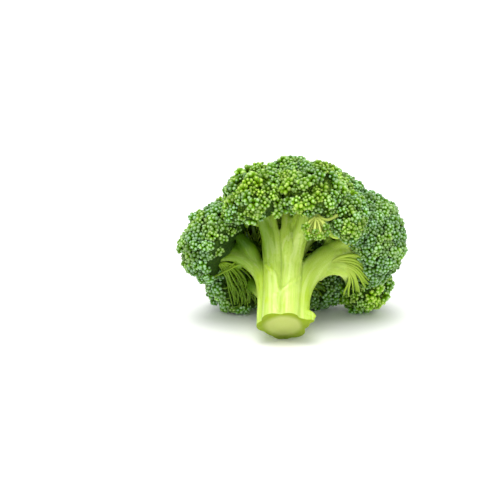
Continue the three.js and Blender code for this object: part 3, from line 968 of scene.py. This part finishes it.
def cluster_places(floret, chance):
    """The middles of a floret's clusters, which way each faces, how young it is, and how pale, with painted
    shade in the dips.
    """
    loose = floret.looseness
    spacing = settings().cluster_spacing / MM * (0.95 + 0.05 * loose)
    directions = spiral(count_over(floret.radius, spacing))
    shift = (0.06 + 0.1 * loose) * spacing / floret.radius
    directions = unit(directions + chance.normal(0, shift, directions.shape))
    outward = floret.out(directions)
    reach = floret.reach(directions)
    edge = floret.rim + floret.past_rim + chance.normal(0, 0.06, len(directions))
    if "front" in floret.name:
        edge = edge + BUDS_BESIDE * floret.beside_columns(outward)
    kept = (floret.lean(directions) < edge) & (reach - floret.reach_to_seams(outward) < CLUSTER_PAST_SEAM)
    bunches = spiral(count_over(floret.radius, BUNCH_SPACING))
    bunches = unit(bunches + chance.normal(0, 2.2 / floret.radius, bunches.shape))
    from_bunch = np.arccos(np.clip((directions[kept] @ bunches.T).max(axis=1), -1, 1)) * floret.radius
    sunk = smooth_step(from_bunch, *BUNCH_EDGE)
    lift = -0.3 - (1.2 + 1.5 * loose) * sunk + chance.normal(0, 0.2 + 0.3 * loose, len(sunk))
    outward = outward[kept]
    reach = np.minimum(reach[kept] + lift, floret.reach_to_seams(outward) + 0.6)
    middles = floret.centre + outward * reach[:, None]
    facing = unit(outward + chance.normal(0, 0.1 + 0.15 * loose, outward.shape))
    patch = np.array([noise.noise(Vector(middle) * 0.085) for middle in middles])
    youth = floret.youth * (0.4 + 0.6 * smooth_step(outward @ TO_FRONT, -0.5, 0.4))
    youth = youth + (0.3 + 0.8 * loose) * patch + 0.25 * sunk + chance.normal(0, 0.07, len(patch))
    from_spot = np.linalg.norm(middles[:, None] - YOUNG_SPOTS, axis=2).min(axis=1)
    youth = youth + 0.6 * np.exp(-(from_spot / SPOT_WIDTH) ** 2)
    # clusters sunk between bunches are darker: painted shade in the dips
    tone = floret.paleness - 0.4 * sunk + chance.normal(0, 0.12, len(patch))
    return middles, facing, np.clip(youth, 0, 1), tone


def tuft_places(floret):
    """The clusters of the small side shoot, which hangs like a brush from the end of its stalk."""
    root = floret.branch[-1, :3]
    down = unit(TUFT_TOWARDS - root)
    number = np.arange(TUFT_CLUSTERS)
    directions = spiral(TUFT_ROUND)[number]
    lean = np.arccos(directions[:, 2])
    facing = unit(directions @ turn_to(down).T + 0.15 * down)
    length = 14.2 - 2.6 * (lean / 0.75) ** 2 + 0.8 * np.sin(5 * number)
    youth = 0.75 + 0.25 * np.sin(3 * number)
    kept = facing @ TO_FRONT < 0.7
    return (root + facing * length[:, None])[kept], facing[kept], youth[kept], np.full(kept.sum(), 0.5)


def scattered_buds(floret, chance):
    """Where a floret's buds sit, which way they point, how wide they are and how they look."""
    sizes = settings()
    ball = sizes.cluster_width / MM / 2
    width = sizes.bud_width / MM
    loose = floret.looseness
    if floret.name == "tuft":
        middles, facing, youth, tones = tuft_places(floret)
        ball, width = 0.55 * ball, 0.9 * width
    else:
        middles, facing, youth, tones = cluster_places(floret, chance)
    places, ways, widths, looks = [], [], [], []
    for middle, way, young, pale in zip(middles, facing, youth, tones):
        fewer = round(6 * loose)
        cap = spiral(8 if floret.name == "tuft" else chance.integers(22 - fewer, 27 - fewer))
        cap = cap[cap[:, 2] > -0.2]
        spin = np.array(Quaternion((0, 0, 1), chance.uniform(0, 2 * math.pi)).to_matrix())
        radius = ball * chance.uniform(0.92 - 0.14 * loose, 1.1 + 0.1 * loose)
        petals = unit(cap + chance.normal(0, 0.05 + 0.06 * loose, cap.shape)) @ (turn_to(way) @ spin).T
        spread = chance.uniform(0.95 - 0.14 * loose, 1.05 + 0.22 * loose, (len(cap), 1))
        places.append(middle + petals * radius * spread)
        ways.append(unit(petals + 0.3 * way))
        widths.append(width * radius / ball * chance.uniform(0.86 - 0.12 * loose, 1.12, len(cap)))
        tone = np.clip(chance.normal(pale, 0.18, len(cap)), 0, 1)
        looks.append(np.column_stack((tone, np.clip(young + chance.normal(0, 0.08, len(cap)), 0, 1))))
    places, ways = np.vstack(places), np.vstack(ways)
    widths, looks = np.concatenate(widths), np.vstack(looks)
    kept = (floret.past_seams(places) < BUD_PAST_SEAM) | (floret.name == "tuft")
    return places[kept], ways[kept], widths[kept], looks[kept]


def buds_mesh(name, floret, shape, chance):
    """All of a floret's buds as one mesh, with those that would sink into the surface raised onto it."""
    places, ways, widths, looks = scattered_buds(floret, chance)
    template, triangles = shape
    side = unit(np.cross(ways, chance.normal(0, 1, ways.shape)))
    other = np.cross(ways, side)
    half = (widths / 2)[:, None, None]
    local = (template[:, 0, None] * side[:, None] + template[:, 1, None] * other[:, None]
             + template[:, 2, None] * ways[:, None])
    rested = laid_down((places[:, None] + half * local).reshape(-1, 3))
    heights = rested.reshape(len(places), -1, 3)[:, :, 2]
    heights -= np.minimum(heights.min(axis=1), 0)[:, None]
    faces = (triangles[None] + (np.arange(len(places)) * len(template))[:, None, None]).reshape(-1, 3)
    buds = mesh_object(name, rested, faces.tolist())
    tip = np.clip((template[:, 2] - TINT_FOOT) / (BUD_TOP - TINT_FOOT), 0, 1)
    give_attribute(buds, "tip", np.tile(tip, len(places)))
    give_attribute(buds, "tone", np.repeat(looks[:, 0], len(template)))
    give_attribute(buds, "young", np.repeat(looks[:, 1], len(template)))
    return buds


def flesh_mesh(name, floret):
    """The body of a floret under its buds, with its hollow underside."""
    nothing_selected()
    bpy.ops.mesh.primitive_ico_sphere_add(subdivisions=6, radius=1, location=(0, 0, 0))
    body = bpy.context.object
    body.name = body.data.name = name
    directions = unit(points_of(body))
    outward = floret.out(directions)
    early = 0.0
    if "front" in floret.name:
        early = FLESH_EARLY * (1 - floret.beside_columns(outward))
    under = smooth_step(floret.lean(directions), floret.rim - early - 0.1, floret.rim - early + 0.25)
    reach = floret.reach(directions, early) - FLESH_DEPTH * (1 - under)
    reach = np.minimum(reach, floret.reach_to_seams(outward) - 0.3)
    rested = laid_down(floret.centre + outward * reach[:, None])
    rested[:, 2] = np.maximum(rested[:, 2], 0.4 * MM)
    move_points(body, rested)
    give_attribute(body, "young", np.full(len(directions), floret.youth))
    # where the underside is hollow; the flesh is darkened there with painted shade
    give_attribute(body, "under", under)
    return body


class BROCCOLI_OT_florets(bpy.types.Operator):
    """Cover every floret with its clusters of flower buds"""

    bl_idname = "broccoli.florets"
    bl_label = "Florets"

    def execute(self, context):
        shape = bud_shape()
        skin, inside = bud_skin(), flesh()
        for number, floret in enumerate(CROWN):
            node = "floret_" + floret.name
            chance = np.random.default_rng(BUD_SEED + number)
            finish_piece(buds_mesh("buds_" + floret.name, floret, shape, chance), skin, [node])
            if floret.name != "tuft":
                finish_piece(flesh_mesh("flesh_" + floret.name, floret), inside, [node])
        return {"FINISHED"}


class BROCCOLI_OT_stage(bpy.types.Operator):
    """Set the head on a white surface under soft light, seen as in a studio"""

    bl_idname = "broccoli.stage"
    bl_label = "Stage"

    def execute(self, context):
        nothing_selected()
        bpy.ops.mesh.primitive_plane_add(size=30, location=(0, 0, 0))
        floor = context.object
        floor.name = "floor"
        paper = Recipe("white_surface")
        paper.set(Base_Color=(0.97, 0.97, 0.97), Roughness=0.7)
        floor.data.materials.append(paper.material)

        world = bpy.data.worlds.new("studio")
        world.use_nodes = True
        world.node_tree.nodes["Background"].inputs["Color"].default_value = (1, 1, 1, 1)
        world.node_tree.nodes["Background"].inputs["Strength"].default_value = 0.95
        context.scene.world = world
        self.soft_light("overhead", (-0.10, -0.32, 1.0), spread=36, power=2.1)
        self.camera(context)
        context.scene.view_settings.view_transform = "Standard"
        return {"FINISHED"}

    def soft_light(self, name, place, spread, power):
        """A distant light, as even over the surface as a large ceiling of diffusers."""
        bpy.ops.object.light_add(type="SUN", location=place)
        light = bpy.context.object
        light.name = name
        light.data.angle = math.radians(spread)
        light.data.energy = power
        light.rotation_euler = Vector(place).to_track_quat("Z", "Y").to_euler()

    def camera(self, context):
        """Looks along +Y and 15 degrees down, with the cut end right of and below the picture's middle."""
        down = math.radians(15)
        distance = 692 * MM
        lens, sensor, picture = 80, 36, 480
        pixel = distance * sensor / lens / picture
        right, below = 43.5, 85
        ahead = Vector((0, math.cos(down), -math.sin(down)))
        upward = Vector((0, math.sin(down), math.cos(down)))
        cut_end = Vector((-7.7, -51.7, 13.6)) * MM
        aim = cut_end - Vector((1, 0, 0)) * right * pixel + upward * below * pixel
        bpy.ops.object.camera_add(location=aim - ahead * distance, rotation=(math.pi / 2 - down, 0, 0))
        camera = context.object
        camera.data.lens = lens
        camera.data.sensor_width = sensor
        camera.data.clip_end = 100
        context.scene.camera = camera


STEPS = (BROCCOLI_OT_stalk, BROCCOLI_OT_fine_stalks, BROCCOLI_OT_florets, BROCCOLI_OT_stage)


class BROCCOLI_PT_panel(bpy.types.Panel):
    """The steps that build the broccoli head"""

    bl_idname = "BROCCOLI_PT_panel"
    bl_label = "Broccoli head"
    bl_space_type = "VIEW_3D"
    bl_region_type = "UI"
    bl_category = "Broccoli"

    def draw(self, context):
        for name in BroccoliSettings.__annotations__:
            self.layout.prop(context.scene.broccoli, name)
        for step in STEPS:
            self.layout.operator(step.bl_idname)


CLASSES = (BroccoliSettings, *STEPS, BROCCOLI_PT_panel)


def register():
    for kind in CLASSES:
        bpy.utils.register_class(kind)
    bpy.types.Scene.broccoli = bpy.props.PointerProperty(type=BroccoliSettings)


def unregister():
    del bpy.types.Scene.broccoli
    for kind in reversed(CLASSES):
        bpy.utils.unregister_class(kind)


def main():
    register()
    bpy.ops.broccoli.stalk()
    bpy.ops.broccoli.fine_stalks()
    bpy.ops.broccoli.florets()
    bpy.ops.broccoli.stage()


if __name__ == "__main__":
    main()
